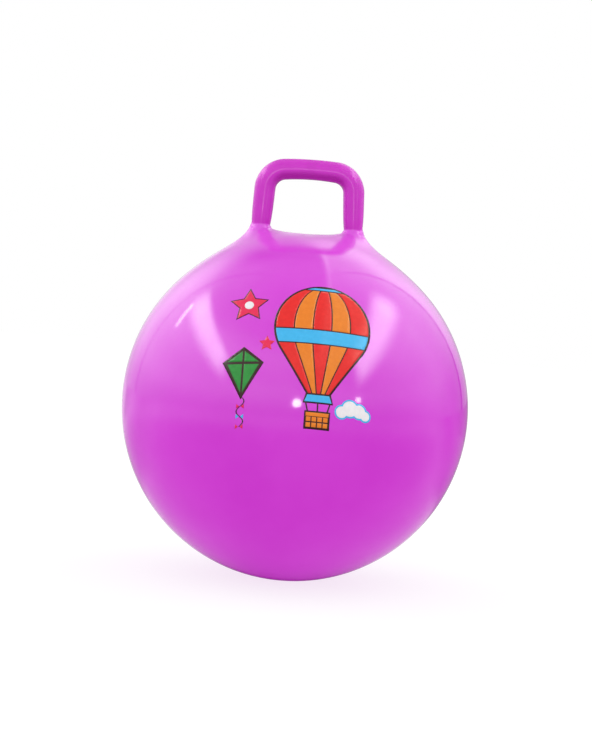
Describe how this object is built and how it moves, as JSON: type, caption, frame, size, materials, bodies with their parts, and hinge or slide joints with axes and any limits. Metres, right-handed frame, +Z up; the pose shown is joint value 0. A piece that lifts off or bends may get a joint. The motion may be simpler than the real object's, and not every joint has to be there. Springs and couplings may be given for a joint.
{
  "type": "hopper ball",
  "caption": "Inflated vinyl bouncing ball that a child sits on, with a moulded loop handle on top, a push-in air stopper behind and a printed picture in front.",
  "frame": {"origin": "middle of the flat patch that the ball rests on, at the floor", "axes": "+Z up through the top of the ball and the middle of the handle, +X along the handle's bar, -Y out through the printed front, +Y towards the air valve"},
  "size_m": [0.4498, 0.4499, 0.5456],
  "materials": {
    "ball_vinyl": "glossy stretched PVC film, slightly translucent",
    "handle_vinyl": "satin unstretched PVC, opaque",
    "seat_vinyl": "satin moulded PVC insert",
    "stopper_plastic": "satin white moulded plastic",
    "ink_dark": "glossy screen-printed ink",
    "ink_red": "glossy screen-printed ink",
    "ink_orange": "glossy screen-printed ink",
    "ink_blue": "glossy screen-printed ink",
    "ink_green": "glossy screen-printed ink",
    "ink_crimson": "glossy screen-printed ink",
    "ink_white": "glossy screen-printed ink"
  },
  "bodies": {
    "ball": {"ball_skin": "ball_vinyl", "left_neck": "ball_vinyl", "right_neck": "ball_vinyl", "handle": "handle_vinyl", "valve_seat": "seat_vinyl", "print_outline": "ink_dark", "print_red": "ink_red", "print_orange": "ink_orange", "print_blue": "ink_blue", "print_green": "ink_green", "print_crimson": "ink_crimson", "print_white": "ink_white"},
    "stopper": {"valve_plug": "stopper_plastic"}
  },
  "joints": [
    {"name": "stopper_pull", "type": "slide", "parent": "ball", "child": "stopper", "axis": [0, 0.5446, 0.8387], "range_m": [0, 0.02]}
  ]
}
